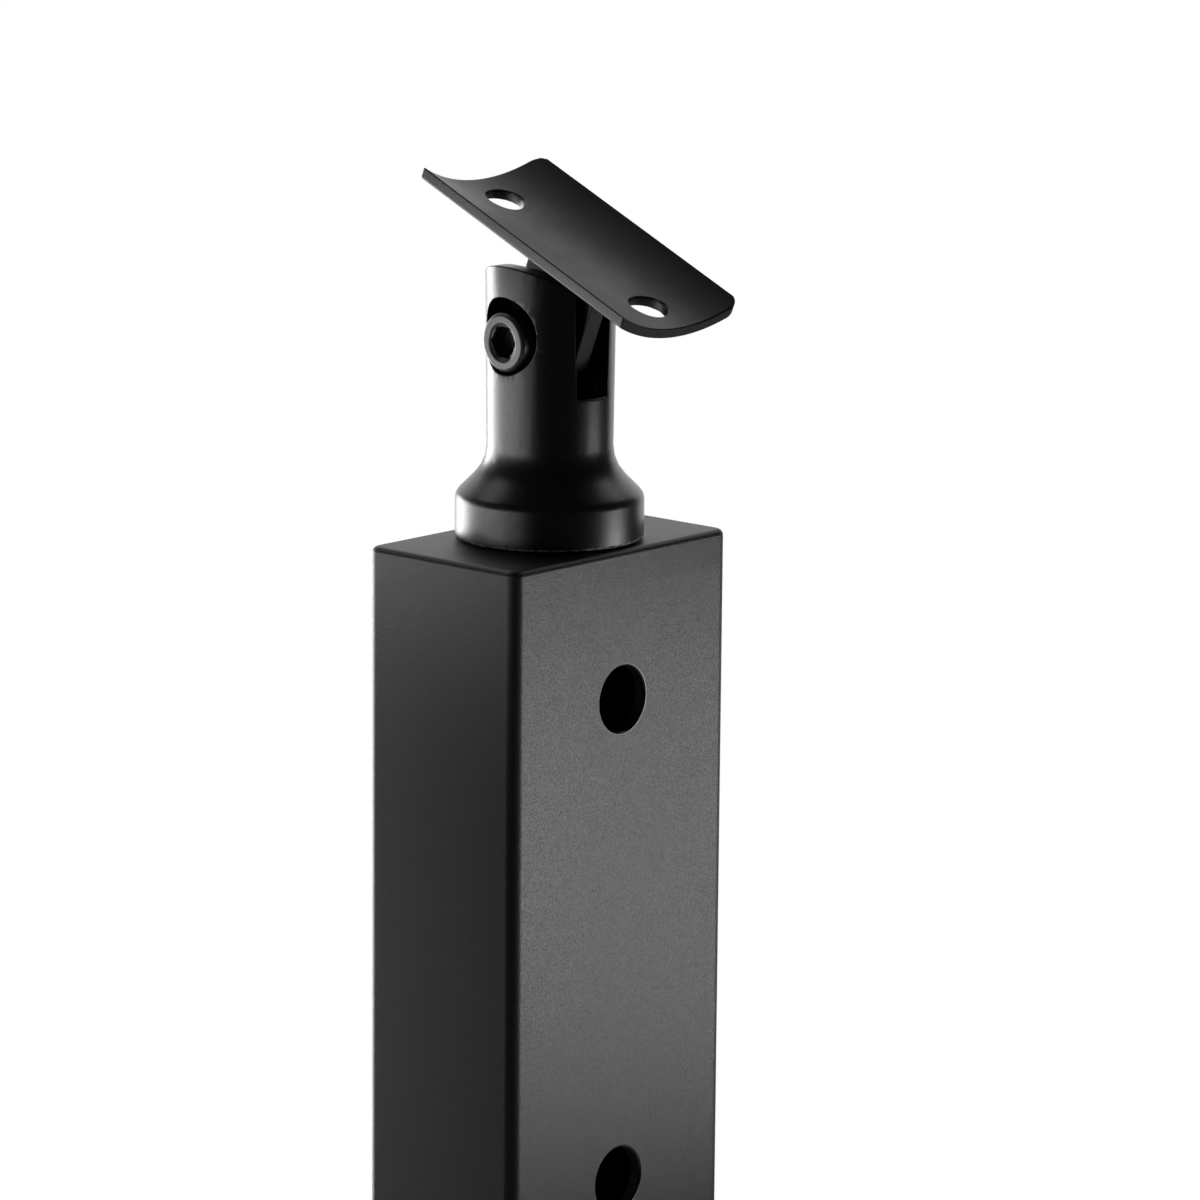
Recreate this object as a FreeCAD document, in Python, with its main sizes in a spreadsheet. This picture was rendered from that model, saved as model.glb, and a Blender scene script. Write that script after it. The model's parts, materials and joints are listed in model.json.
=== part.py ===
import FreeCAD, Part
import Sketcher
import os
import math

# Cable railing post with a swivelling, tilting handrail saddle.
# Z is up, the cables run along X, and the origin is the middle of the foot plate's underside.

doc = FreeCAD.newDocument("cable_railing_post")
sheet = doc.addObject("Spreadsheet::Sheet", "Sizes")

# Post tube and its cable holes
tube_width = 50.8
tube_depth = 31.75
tube_wall = 2.0
tube_corner = 2.0
post_height = 866.0
cable_hole_bore = 10.7
cable_hole_first_drop = 24.0
cable_hole_pitch = 79.4
cable_hole_lowest = 40.0

# Cap plate and foot plate
cap_thick = 6.0
cap_edge_chamfer = 0.6
foot_side = 101.6
foot_thick = 6.35
foot_corner = 8.0
foot_edge_chamfer = 0.8
anchor_edge = 12.7
anchor_bore = 9.5

# Neck, measured from its own underside
neck_gap = 0.35
neck_foot_radius = 15.1
neck_foot_high = 6.9
neck_foot_chamfer = 0.4
neck_foot_round = 2.0
neck_waist_radius = 10.1
neck_top_radius = 10.4
neck_flare_round = 7.0
neck_top_high = 44.2
neck_arch_radius = 17.0
neck_floor = 8.0
pivot_drop = 12.1
slot_bottom_play = 1.5
slot_top_play = 0.65

# Pivot screw, a quarter inch socket head cap screw, and its pocket in the neck
pivot_shank_radius = 3.175
pivot_head_radius = 4.76
pivot_head_long = 6.3
pivot_hex_width = 4.76
pivot_hex_deep = 3.2
pivot_tip_cover = 0.9
pocket_room = 0.94
pocket_lift = 0.5
pocket_rise = 1.4
boss_wall = 0.6
seat_wall = 2.4
screw_running = 0.06

# Neck screw, a five sixteenths inch socket head cap screw, in the neck's bore
neck_shank_radius = 3.97
neck_head_radius = 5.95
neck_head_long = 7.9
neck_hex_width = 6.35
neck_hex_deep = 4.0
bore_room = 1.45
head_gap = 0.3

# Edges of both screws
head_chamfer = 0.45
hex_lip = 0.35
screw_tip_chamfer = 0.8

# Saddle plate and tongue
saddle_long = 49.6
saddle_wide = 25.4
saddle_hollow_radius = 25.4
saddle_thick = 1.7
saddle_gap = 1.25
saddle_corner = 2.2
saddle_hole_bore = 6.35
saddle_hole_edge = 7.05
tongue_thick = 3.4
tongue_half_wide = 8.0
tongue_running = 0.1
tongue_end_gap = 0.8
tongue_weld_leg = 1.6
tongue_weld_inset = 0.8
tongue_weld_rise = 0.3

# Pose in the photograph, and how far a cutting outline runs past the metal
swivel_angle = -5.0
tilt_angle = 22.0
cut_spare = 2.0


def put(**sizes):
    """Writes sizes into the sheet under their names."""
    for alias, value in sizes.items():
        rows.append(alias)
        cell = "A" + str(len(rows))
        sheet.set(cell, str(value))
        sheet.setAlias(cell, alias)


rows = []
put(tube_width=tube_width, tube_depth=tube_depth, tube_wall=tube_wall, tube_corner=tube_corner,
    post_height=post_height, cable_hole_bore=cable_hole_bore,
    cable_hole_first_drop=cable_hole_first_drop, cable_hole_pitch=cable_hole_pitch,
    cable_hole_lowest=cable_hole_lowest)
put(cap_thick=cap_thick, cap_edge_chamfer=cap_edge_chamfer, foot_side=foot_side,
    foot_thick=foot_thick, foot_corner=foot_corner, foot_edge_chamfer=foot_edge_chamfer,
    anchor_edge=anchor_edge, anchor_bore=anchor_bore)
put(neck_gap=neck_gap, neck_foot_radius=neck_foot_radius, neck_foot_high=neck_foot_high,
    neck_foot_chamfer=neck_foot_chamfer, neck_foot_round=neck_foot_round,
    neck_waist_radius=neck_waist_radius, neck_top_radius=neck_top_radius,
    neck_flare_round=neck_flare_round, neck_top_high=neck_top_high,
    neck_arch_radius=neck_arch_radius, neck_floor=neck_floor, pivot_drop=pivot_drop,
    slot_bottom_play=slot_bottom_play, slot_top_play=slot_top_play)
put(pivot_shank_radius=pivot_shank_radius, pivot_head_radius=pivot_head_radius,
    pivot_head_long=pivot_head_long, pivot_hex_width=pivot_hex_width,
    pivot_hex_deep=pivot_hex_deep, pivot_tip_cover=pivot_tip_cover, pocket_room=pocket_room,
    pocket_lift=pocket_lift, pocket_rise=pocket_rise, boss_wall=boss_wall, seat_wall=seat_wall,
    screw_running=screw_running)
put(neck_shank_radius=neck_shank_radius, neck_head_radius=neck_head_radius,
    neck_head_long=neck_head_long, neck_hex_width=neck_hex_width, neck_hex_deep=neck_hex_deep,
    bore_room=bore_room, head_gap=head_gap, head_chamfer=head_chamfer, hex_lip=hex_lip,
    screw_tip_chamfer=screw_tip_chamfer)
put(saddle_long=saddle_long, saddle_wide=saddle_wide,
    saddle_hollow_radius=saddle_hollow_radius, saddle_thick=saddle_thick,
    saddle_gap=saddle_gap, saddle_corner=saddle_corner, saddle_hole_bore=saddle_hole_bore,
    saddle_hole_edge=saddle_hole_edge, tongue_thick=tongue_thick,
    tongue_half_wide=tongue_half_wide, tongue_running=tongue_running,
    tongue_end_gap=tongue_end_gap, tongue_weld_leg=tongue_weld_leg,
    tongue_weld_inset=tongue_weld_inset, tongue_weld_rise=tongue_weld_rise)
put(swivel_angle=swivel_angle, tilt_angle=tilt_angle, cut_spare=cut_spare)
doc.recompute()

# Sizes that follow from others: the value, and the same sum as an expression
pivot_high = neck_top_high - pivot_drop
PIVOT_HIGH = "(Sizes.neck_top_high - Sizes.pivot_drop)"
slot_bottom = pivot_high - tongue_half_wide - tongue_end_gap
SLOT_BOTTOM = "(" + PIVOT_HIGH + " - Sizes.tongue_half_wide - Sizes.tongue_end_gap)"
slot_half = tongue_thick / 2 + slot_bottom_play
SLOT_HALF = "(Sizes.tongue_thick / 2 + Sizes.slot_bottom_play)"
slot_top_half = tongue_thick / 2 + tongue_weld_leg + slot_top_play
SLOT_TOP_HALF = "(Sizes.tongue_thick / 2 + Sizes.tongue_weld_leg + Sizes.slot_top_play)"
gap_half = tongue_thick / 2 + tongue_running
GAP_HALF = "(Sizes.tongue_thick / 2 + Sizes.tongue_running)"
screw_seat = gap_half + seat_wall
SCREW_SEAT = "(" + GAP_HALF + " + Sizes.seat_wall)"
thread_end = neck_waist_radius - pivot_tip_cover
THREAD_END = "(Sizes.neck_waist_radius - Sizes.pivot_tip_cover)"
bore_radius = neck_head_radius + bore_room
BORE_RADIUS = "(Sizes.neck_head_radius + Sizes.bore_room)"
pocket_radius = pivot_head_radius + pocket_room
POCKET_RADIUS = "(Sizes.pivot_head_radius + Sizes.pocket_room)"
boss_radius = pocket_radius + boss_wall
BOSS_RADIUS = "(" + POCKET_RADIUS + " + Sizes.boss_wall)"
saddle_rise = pivot_drop + saddle_gap
SADDLE_RISE = "(Sizes.pivot_drop + Sizes.saddle_gap)"
cut_top = neck_top_high + cut_spare
CUT_TOP = "(Sizes.neck_top_high + Sizes.cut_spare)"

V = FreeCAD.Vector
XY, XZ, YZ = "XY_Plane", "XZ_Plane", "YZ_Plane"


def new_body(label):
    """Makes an empty body with its label."""
    body = doc.addObject("PartDesign::Body", "Body_" + label)
    body.Label = label
    return body


def sketch_on(body, name, plane, lift=None):
    """Adds a sketch on one of the body's own origin planes, lifted along the plane's normal."""
    sk = body.newObject("Sketcher::SketchObject", name)
    face = [f for f in body.Origin.OriginFeatures if f.Role == plane][0]
    sk.AttachmentSupport = [(face, "")]
    sk.MapMode = "FlatFace"
    if lift:
        sk.setExpression(".AttachmentOffset.Base.z", lift)
    return sk


def bind(sk, index, expression):
    """Binds one constraint of a sketch to an expression."""
    sk.setExpression("Constraints[" + str(index) + "]", expression)


def outline(sk, points):
    """Draws a closed outline of straight lines; each point is (x, y, x expression, y expression).

    An expression of None keeps that coordinate on the axis. Negative sides carry a minus sign
    in front of the expression, which gives the distance to the left or down.
    """
    n = len(points)
    for i in range(n):
        a, b = points[i], points[(i + 1) % n]
        sk.addGeometry(Part.LineSegment(V(a[0], a[1], 0), V(b[0], b[1], 0)), False)
    for i in range(n):
        sk.addConstraint(Sketcher.Constraint("Coincident", i, 2, (i + 1) % n, 1))
    pin_points(sk, [(i, 1) + tuple(p) for i, p in enumerate(points)])


def pin_points(sk, pins):
    """Fixes points of a sketch by their distances to the origin, bound to the sizes."""
    for geo, end, x, y, ex, ey in pins:
        for kind, value, text in (("DistanceX", x, ex), ("DistanceY", y, ey)):
            if text is None:
                axis = -2 if kind == "DistanceX" else -1
                sk.addConstraint(Sketcher.Constraint("PointOnObject", geo, end, axis))
            elif text.startswith("-"):
                c = sk.addConstraint(Sketcher.Constraint(kind, geo, end, -1, 1, -value))
                bind(sk, c, text[1:])
            else:
                c = sk.addConstraint(Sketcher.Constraint(kind, -1, 1, geo, end, value))
                bind(sk, c, text)


def circle(sk, x, y, r, ex, ey, er):
    """Draws one circle with its middle and radius bound to the sizes."""
    g = sk.addGeometry(Part.Circle(V(x, y, 0), V(0, 0, 1), r), False)
    c = sk.addConstraint(Sketcher.Constraint("Radius", g, r))
    bind(sk, c, er)
    pin_points(sk, [(g, 3, x, y, ex, ey)])
    return g


def pad(body, sk, name, length, both=False, reverse=False):
    """Pads a sketch by a length given as an expression."""
    feature = body.newObject("PartDesign::Pad", name)
    feature.Profile = sk
    feature.setExpression("Length", length)
    feature.Midplane = both
    feature.Reversed = reverse
    sk.Visibility = False
    doc.recompute()
    return feature


def pocket(body, sk, name, length, both=False, reverse=False):
    """Cuts a sketch into the body by a length given as an expression and checks that it cut."""
    before = body.Shape.Volume
    feature = body.newObject("PartDesign::Pocket", name)
    feature.Profile = sk
    feature.setExpression("Length", length)
    feature.Midplane = both
    feature.Reversed = reverse
    sk.Visibility = False
    doc.recompute()
    if feature.Shape.Volume > before - 0.01:
        raise RuntimeError(name + " cut nothing")
    return feature


def turned(body, sk, name):
    """Turns a sketch fully about the body's upright axis."""
    feature = body.newObject("PartDesign::Revolution", name)
    feature.Profile = sk
    axis = [f for f in body.Origin.OriginFeatures if f.Role == "Z_Axis"][0]
    feature.ReferenceAxis = (axis, [""])
    feature.Angle = 360.0
    sk.Visibility = False
    doc.recompute()
    return feature


def edge_names(feature, test):
    """Names the edges of a feature whose middle passes a test."""
    found = []
    for i, edge in enumerate(feature.Shape.Edges):
        if test(edge):
            found.append("Edge" + str(i + 1))
    if not found:
        raise RuntimeError("no edges found on " + feature.Name)
    return found


def rounded(body, feature, name, names, radius, kind="PartDesign::Fillet"):
    """Rounds or chamfers the named edges by a size."""
    blend = body.newObject(kind, name)
    blend.Base = (feature, names)
    blend.setExpression("Radius" if kind.endswith("Fillet") else "Size", radius)
    doc.recompute()
    return blend


def upright(edge):
    """Tells whether an edge is a straight upright line."""
    if edge.Curve.TypeId != "Part::GeomLine":
        return False
    return abs(abs(edge.tangentAt(edge.FirstParameter).z) - 1.0) < 1e-6


def level_at(edge, z):
    """Tells whether an edge lies level at a height."""
    box = edge.BoundBox
    return abs(box.ZMin - z) < 1e-4 and abs(box.ZMax - z) < 1e-4


def plate(label, width_x, width_y, thick, corner):
    """Makes a plate with rounded corners, its underside on the body's own level plane."""
    body = new_body(label)
    sk = sketch_on(body, label + "_outline", XY)
    wx, wy = sheet.get(width_x) / 2, sheet.get(width_y) / 2
    ex, ey = "Sizes." + width_x + " / 2", "Sizes." + width_y + " / 2"
    outline(sk, [(-wx, -wy, "-" + ex, "-" + ey), (wx, -wy, ex, "-" + ey),
                 (wx, wy, ex, ey), (-wx, wy, "-" + ex, ey)])
    doc.recompute()
    block = pad(body, sk, label + "_block", thick)
    last = rounded(body, block, label + "_corners", edge_names(block, upright), "Sizes." + corner)
    return body, last


# Post tube: a rounded block, hollowed, with a row of round cable holes through both wide walls
tube_long = "Sizes.post_height - Sizes.foot_thick - Sizes.cap_thick"
tube, tube_solid = plate("post_tube", "tube_depth", "tube_width", tube_long, "tube_corner")
inside = sketch_on(tube, "post_tube_inside", XY)
ix = tube_depth / 2 - tube_wall
iy = tube_width / 2 - tube_wall
ex, ey = "Sizes.tube_depth / 2 - Sizes.tube_wall", "Sizes.tube_width / 2 - Sizes.tube_wall"
outline(inside, [(-ix, -iy, "-(" + ex + ")", "-(" + ey + ")"), (ix, -iy, ex, "-(" + ey + ")"),
                 (ix, iy, ex, ey), (-ix, iy, "-(" + ex + ")", ey)])
doc.recompute()
pocket(tube, inside, "post_tube_hollow", tube_long, reverse=True)
hole_high = "Sizes.post_height - Sizes.cable_hole_first_drop - Sizes.foot_thick"
hole_z = post_height - cable_hole_first_drop - foot_thick
hole_sketch = sketch_on(tube, "cable_hole_outline", YZ)
circle(hole_sketch, 0, hole_z, cable_hole_bore / 2, None, hole_high, "Sizes.cable_hole_bore / 2")
doc.recompute()
hole_cut = pocket(tube, hole_sketch, "cable_hole", "Sizes.tube_depth * 2", both=True)
row = tube.newObject("PartDesign::LinearPattern", "cable_hole_row")
row.Originals = [hole_cut]
row.Direction = ([f for f in tube.Origin.OriginFeatures if f.Role == "Z_Axis"][0], [""])
row.Reversed = True
room = "(Sizes.post_height - Sizes.cable_hole_first_drop - Sizes.cable_hole_lowest)"
steps = "floor(" + room + " / Sizes.cable_hole_pitch)"
row.setExpression("Length", "Sizes.cable_hole_pitch * " + steps)
row.setExpression("Occurrences", steps + " + 1")
tube.Tip = row
doc.recompute()
tube.setExpression(".Placement.Base.z", "Sizes.foot_thick")

# Cap plate, flush with the tube, with the threaded hole for the neck screw
cap, cap_solid = plate("top_cap", "tube_depth", "tube_width", "Sizes.cap_thick", "tube_corner")
cap_z = cap_thick
cap_edges = edge_names(cap_solid, lambda e: level_at(e, cap_z))
rounded(cap, cap_solid, "top_cap_edge", cap_edges, "Sizes.cap_edge_chamfer", "PartDesign::Chamfer")
cap_hole = sketch_on(cap, "top_cap_thread_outline", XY)
circle(cap_hole, 0, 0, neck_shank_radius, None, None, "Sizes.neck_shank_radius")
doc.recompute()
pocket(cap, cap_hole, "top_cap_thread", "Sizes.cap_thick", reverse=True)
cap.setExpression(".Placement.Base.z", "Sizes.post_height - Sizes.cap_thick")

# Foot plate with four anchor holes
foot, foot_solid = plate("base_plate", "foot_side", "foot_side", "Sizes.foot_thick", "foot_corner")
foot_z = foot_thick
foot_edges = edge_names(foot_solid, lambda e: level_at(e, foot_z))
rounded(foot, foot_solid, "base_plate_edge", foot_edges, "Sizes.foot_edge_chamfer",
        "PartDesign::Chamfer")
anchors = sketch_on(foot, "anchor_outline", XY)
half, er = "(Sizes.foot_side / 2 - Sizes.anchor_edge)", "Sizes.anchor_bore / 2"
av, ar = foot_side / 2 - anchor_edge, anchor_bore / 2
for sx, sy in ((1, 1), (-1, 1), (-1, -1), (1, -1)):
    tx = half if sx > 0 else "-" + half
    ty = half if sy > 0 else "-" + half
    circle(anchors, sx * av, sy * av, ar, tx, ty, er)
doc.recompute()
pocket(foot, anchors, "anchor_holes", "Sizes.foot_thick", reverse=True)

# Neck: turned outside, then slot, bore, pivot bosses, tongue gap, screw pocket and screw hole.
# This is the part that takes the most skill: all the cuts meet inside one slender neck.
neck = new_body("neck")
cone_z = neck_foot_high + neck_foot_radius - neck_waist_radius
CONE_Z = "(Sizes.neck_foot_high + Sizes.neck_foot_radius - Sizes.neck_waist_radius)"
chamfer_in = neck_foot_radius - neck_foot_chamfer
profile = sketch_on(neck, "neck_profile", XZ)
profile_points = [
    (0, 0, None, None),
    (chamfer_in, 0, "Sizes.neck_foot_radius - Sizes.neck_foot_chamfer", None),
    (neck_foot_radius, neck_foot_chamfer, "Sizes.neck_foot_radius", "Sizes.neck_foot_chamfer")]


def blend(radius, radius_text, start_x, x_text, start_z, z_text, degrees, side):
    """Adds a round between upright and sloping metal to the neck's profile, as short flats.

    The side is 1 for a shoulder that bulges and -1 for a flare that hollows.
    """
    reach = math.tan(math.pi / 8)
    for d in degrees:
        turn = math.radians(d)
        x = start_x - side * radius * (1 - math.cos(turn))
        z = start_z - side * radius * (reach - math.sin(turn))
        sign, angle = (" - " if side > 0 else " + "), "(" + str(d) + " deg)"
        ex = x_text + sign + radius_text + " * (1 - cos" + angle + ")"
        ez = z_text + sign + radius_text + " * (tan(22.5 deg) - sin" + angle + ")"
        profile_points.append((x, z, ex, ez))


blend(neck_foot_round, "Sizes.neck_foot_round", neck_foot_radius, "Sizes.neck_foot_radius",
      neck_foot_high, "Sizes.neck_foot_high", (0, 22.5, 45), 1)
blend(neck_flare_round, "Sizes.neck_flare_round", neck_waist_radius, "Sizes.neck_waist_radius",
      cone_z, CONE_Z, (45, 30, 15, 0), -1)
profile_points += [
    (neck_top_radius, neck_top_high, "Sizes.neck_top_radius", "Sizes.neck_top_high"),
    (0, neck_top_high, None, "Sizes.neck_top_high")]
outline(profile, profile_points)
doc.recompute()
turned(neck, profile, "neck_turned")

# Arched top: everything above a wide arc is cut away
arch_r = neck_arch_radius
arch_z = neck_top_high - arch_r
arch_x = neck_top_radius + cut_spare
arch_end = arch_z + math.sqrt(arch_r ** 2 - arch_x ** 2)
arch = sketch_on(neck, "neck_arch_outline", XZ)
start = math.atan2(arch_end - arch_z, arch_x)
arch.addGeometry(Part.ArcOfCircle(Part.Circle(V(0, arch_z, 0), V(0, 0, 1), arch_r),
                                  start, math.pi - start), False)
high = cut_top
arch.addGeometry(Part.LineSegment(V(-arch_x, arch_end, 0), V(-arch_x, high, 0)), False)
arch.addGeometry(Part.LineSegment(V(-arch_x, high, 0), V(arch_x, high, 0)), False)
arch.addGeometry(Part.LineSegment(V(arch_x, high, 0), V(arch_x, arch_end, 0)), False)
arch.addConstraint(Sketcher.Constraint("Coincident", 0, 2, 1, 1))
arch.addConstraint(Sketcher.Constraint("Coincident", 1, 2, 2, 1))
arch.addConstraint(Sketcher.Constraint("Coincident", 2, 2, 3, 1))
arch.addConstraint(Sketcher.Constraint("Coincident", 3, 2, 0, 1))
arch.addConstraint(Sketcher.Constraint("Vertical", 1))
arch.addConstraint(Sketcher.Constraint("Vertical", 3))
arch.addConstraint(Sketcher.Constraint("Symmetric", 2, 1, 2, 2, -2))
c = arch.addConstraint(Sketcher.Constraint("Radius", 0, arch_r))
bind(arch, c, "Sizes.neck_arch_radius")
pin_points(arch, [(0, 3, 0, arch_z, None, "Sizes.neck_top_high - Sizes.neck_arch_radius")])
c = arch.addConstraint(Sketcher.Constraint("DistanceX", -1, 1, 2, 2, arch_x))
bind(arch, c, "Sizes.neck_top_radius + Sizes.cut_spare")
c = arch.addConstraint(Sketcher.Constraint("DistanceY", -1, 1, 2, 2, high))
bind(arch, c, CUT_TOP)
doc.recompute()
pocket(neck, arch, "neck_arch", "Sizes.neck_foot_radius * 4", both=True)

# Front to back slot, a little wider at the top
slot = sketch_on(neck, "slot_outline", YZ)
outline(slot, [
    (-slot_half, slot_bottom, "-" + SLOT_HALF, SLOT_BOTTOM),
    (slot_half, slot_bottom, SLOT_HALF, SLOT_BOTTOM),
    (slot_top_half, cut_top, SLOT_TOP_HALF, CUT_TOP),
    (-slot_top_half, cut_top, "-" + SLOT_TOP_HALF, CUT_TOP)])
doc.recompute()
pocket(neck, slot, "neck_slot", "Sizes.neck_foot_radius * 4", both=True)

# Bore from the top down to the floor, then the hole for the neck screw
bore = sketch_on(neck, "bore_outline", XY, "Sizes.neck_floor")
circle(bore, 0, 0, bore_radius, None, None, BORE_RADIUS)
doc.recompute()
pocket(neck, bore, "neck_bore", "Sizes.neck_top_high", reverse=True)
stem = sketch_on(neck, "neck_screw_hole_outline", XY)
stem_r = "Sizes.neck_shank_radius + Sizes.screw_running"
circle(stem, 0, 0, neck_shank_radius + screw_running, None, None, stem_r)
doc.recompute()
pocket(neck, stem, "neck_screw_hole", "Sizes.neck_floor + Sizes.cut_spare", reverse=True)

# Bosses inside the bore round the pivot, with the gap for the tongue between them


def upright_slot(sk, radius, radius_text, low, low_text):
    """Draws an upright rounded slot from a low centre up to the pocket's rise over the pivot."""
    top = pivot_high + pocket_rise
    over, under = V(0, top, 0), V(0, low, 0)
    sk.addGeometry(Part.ArcOfCircle(Part.Circle(over, V(0, 0, 1), radius), 0, math.pi), False)
    sk.addGeometry(Part.LineSegment(V(-radius, top, 0), V(-radius, low, 0)), False)
    sk.addGeometry(Part.ArcOfCircle(Part.Circle(under, V(0, 0, 1), radius), math.pi, 2 * math.pi), False)
    sk.addGeometry(Part.LineSegment(V(radius, low, 0), V(radius, top, 0)), False)
    for a, b in ((0, 1), (1, 2), (2, 3), (3, 0)):
        sk.addConstraint(Sketcher.Constraint("Tangent", a, 2, b, 1))
    sk.addConstraint(Sketcher.Constraint("Vertical", 1))
    bind(sk, sk.addConstraint(Sketcher.Constraint("Radius", 2, radius)), radius_text)
    pin_points(sk, [(2, 3, 0, low, None, low_text),
                    (0, 3, 0, top, None, PIVOT_HIGH + " + Sizes.pocket_rise")])
    doc.recompute()


boss = sketch_on(neck, "boss_outline", XZ)
upright_slot(boss, boss_radius, BOSS_RADIUS, pivot_high, PIVOT_HIGH)
pad(neck, boss, "pivot_bosses", BORE_RADIUS + " * 2", both=True)
gap = sketch_on(neck, "tongue_gap_outline", YZ)
outline(gap, [
    (-gap_half, slot_bottom, "-" + GAP_HALF, SLOT_BOTTOM),
    (gap_half, slot_bottom, GAP_HALF, SLOT_BOTTOM),
    (gap_half, cut_top, GAP_HALF, CUT_TOP),
    (-gap_half, cut_top, "-" + GAP_HALF, CUT_TOP)])
doc.recompute()
pocket(neck, gap, "tongue_gap", "Sizes.neck_foot_radius * 4", both=True)

# Pocket for the screw head, cut from outside down to the screw seat, then the thread
head = sketch_on(neck, "head_pocket_outline", XZ, SCREW_SEAT)
upright_slot(head, pocket_radius, POCKET_RADIUS,
             pivot_high + pocket_lift, PIVOT_HIGH + " + Sizes.pocket_lift")
pocket(neck, head, "head_pocket", "Sizes.neck_foot_radius", reverse=True)
shank = sketch_on(neck, "pivot_hole_outline", XZ, "-" + THREAD_END)
circle(shank, 0, pivot_high, pivot_shank_radius, None, PIVOT_HIGH, "Sizes.pivot_shank_radius")
doc.recompute()
pocket(neck, shank, "pivot_hole", THREAD_END + " * 2", reverse=True)
neck_lift = "Sizes.post_height + Sizes.neck_gap"


def socket_screw(label, shank_r, head_r, head_long, hex_width, hex_deep, tip, tip_text):
    """Makes a socket head screw along its own Z axis, the head's underside at zero."""
    body = new_body(label)
    sk = sketch_on(body, label + "_profile", XZ)
    sr, hr, hl = sheet.get(shank_r), sheet.get(head_r), sheet.get(head_long)
    corner = sheet.get(hex_width) / 2 / math.cos(math.pi / 6)
    s, h, l = "Sizes." + shank_r, "Sizes." + head_r, "Sizes." + head_long
    c_text = "Sizes." + hex_width + " / 2 / cos(30 deg)"
    outline(sk, [
        (0, -tip, None, "-(" + tip_text + ")"),
        (sr - screw_tip_chamfer, -tip, s + " - Sizes.screw_tip_chamfer", "-(" + tip_text + ")"),
        (sr, -tip + screw_tip_chamfer, s, "-(" + tip_text + " - Sizes.screw_tip_chamfer)"),
        (sr, 0, s, None),
        (hr, 0, h, None),
        (hr, hl - head_chamfer, h, l + " - Sizes.head_chamfer"),
        (hr - head_chamfer, hl, h + " - Sizes.head_chamfer", l),
        (corner + hex_lip, hl, c_text + " + Sizes.hex_lip", l),
        (corner, hl - hex_lip, c_text, l + " - Sizes.hex_lip"),
        (0, hl - hex_lip, None, l + " - Sizes.hex_lip")])
    doc.recompute()
    turned(body, sk, label + "_turned")
    hexa = sketch_on(body, label + "_hex_outline", XY, l)
    turn = math.pi / 3
    pts = [(corner * math.cos(turn * i), corner * math.sin(turn * i)) for i in range(6)]
    for i in range(6):
        a, b = pts[i], pts[(i + 1) % 6]
        hexa.addGeometry(Part.LineSegment(V(a[0], a[1], 0), V(b[0], b[1], 0)), False)
    for i in range(6):
        hexa.addConstraint(Sketcher.Constraint("Coincident", i, 2, (i + 1) % 6, 1))
    ring_geo = hexa.addGeometry(Part.Circle(V(0, 0, 0), V(0, 0, 1), corner), True)
    hexa.addConstraint(Sketcher.Constraint("Coincident", ring_geo, 3, -1, 1))
    for i in range(6):
        hexa.addConstraint(Sketcher.Constraint("PointOnObject", i, 1, ring_geo))
    for i in range(5):
        hexa.addConstraint(Sketcher.Constraint("Equal", i, i + 1))
    hexa.addConstraint(Sketcher.Constraint("PointOnObject", 0, 1, -1))
    c = hexa.addConstraint(Sketcher.Constraint("Radius", ring_geo, corner))
    bind(hexa, c, c_text)
    doc.recompute()
    pocket(body, hexa, label + "_hex", "Sizes." + hex_deep)
    return body


# Pivot screw: lies along Y with its head on the minus Y side
pivot = socket_screw("pivot_screw", "pivot_shank_radius", "pivot_head_radius", "pivot_head_long",
                     "pivot_hex_width", "pivot_hex_deep", thread_end + screw_seat,
                     THREAD_END + " + " + SCREW_SEAT)

# Neck screw: upright, its head inside the bore just above the floor
stem_screw = socket_screw("neck_screw", "neck_shank_radius", "neck_head_radius", "neck_head_long",
                          "neck_hex_width", "neck_hex_deep",
                          cap_thick + neck_gap + neck_floor + head_gap,
                          "Sizes.cap_thick + Sizes.neck_gap + Sizes.neck_floor + Sizes.head_gap")
stem_screw.setExpression(".Placement.Base.z",
                         neck_lift + " + Sizes.neck_floor + Sizes.head_gap")

# Saddle plate: a curved strip along X, hollow side up, square at its near corners and rounded
# at its far ones, with two screw holes
saddle = new_body("saddle_plate")
strip = sketch_on(saddle, "saddle_strip_outline", YZ)
hw = saddle_wide / 2
r_in = saddle_hollow_radius
r_out = r_in + saddle_thick
R_OUT = "(Sizes.saddle_hollow_radius + Sizes.saddle_thick)"
zc = saddle_rise + r_out
ZC = "(" + SADDLE_RISE + " + " + R_OUT + ")"
a_in, a_out = math.asin(hw / r_in), math.asin(hw / r_out)
down = -math.pi / 2
for radius, half_turn in ((r_in, a_in), (r_out, a_out)):
    ring = Part.Circle(V(0, zc, 0), V(0, 0, 1), radius)
    strip.addGeometry(Part.ArcOfCircle(ring, down - half_turn, down + half_turn), False)
y_in, y_out = zc - r_in * math.cos(a_in), zc - r_out * math.cos(a_out)
strip.addGeometry(Part.LineSegment(V(-hw, y_in, 0), V(-hw, y_out, 0)), False)
strip.addGeometry(Part.LineSegment(V(hw, y_in, 0), V(hw, y_out, 0)), False)
strip.addConstraint(Sketcher.Constraint("Coincident", 0, 1, 2, 1))
strip.addConstraint(Sketcher.Constraint("Coincident", 1, 1, 2, 2))
strip.addConstraint(Sketcher.Constraint("Coincident", 0, 2, 3, 1))
strip.addConstraint(Sketcher.Constraint("Coincident", 1, 2, 3, 2))
strip.addConstraint(Sketcher.Constraint("Coincident", 0, 3, 1, 3))
strip.addConstraint(Sketcher.Constraint("Vertical", 2))
strip.addConstraint(Sketcher.Constraint("Vertical", 3))
c = strip.addConstraint(Sketcher.Constraint("Radius", 0, r_in))
bind(strip, c, "Sizes.saddle_hollow_radius")
c = strip.addConstraint(Sketcher.Constraint("Radius", 1, r_out))
bind(strip, c, R_OUT)
pin_points(strip, [(0, 3, 0, zc, None, ZC)])
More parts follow.
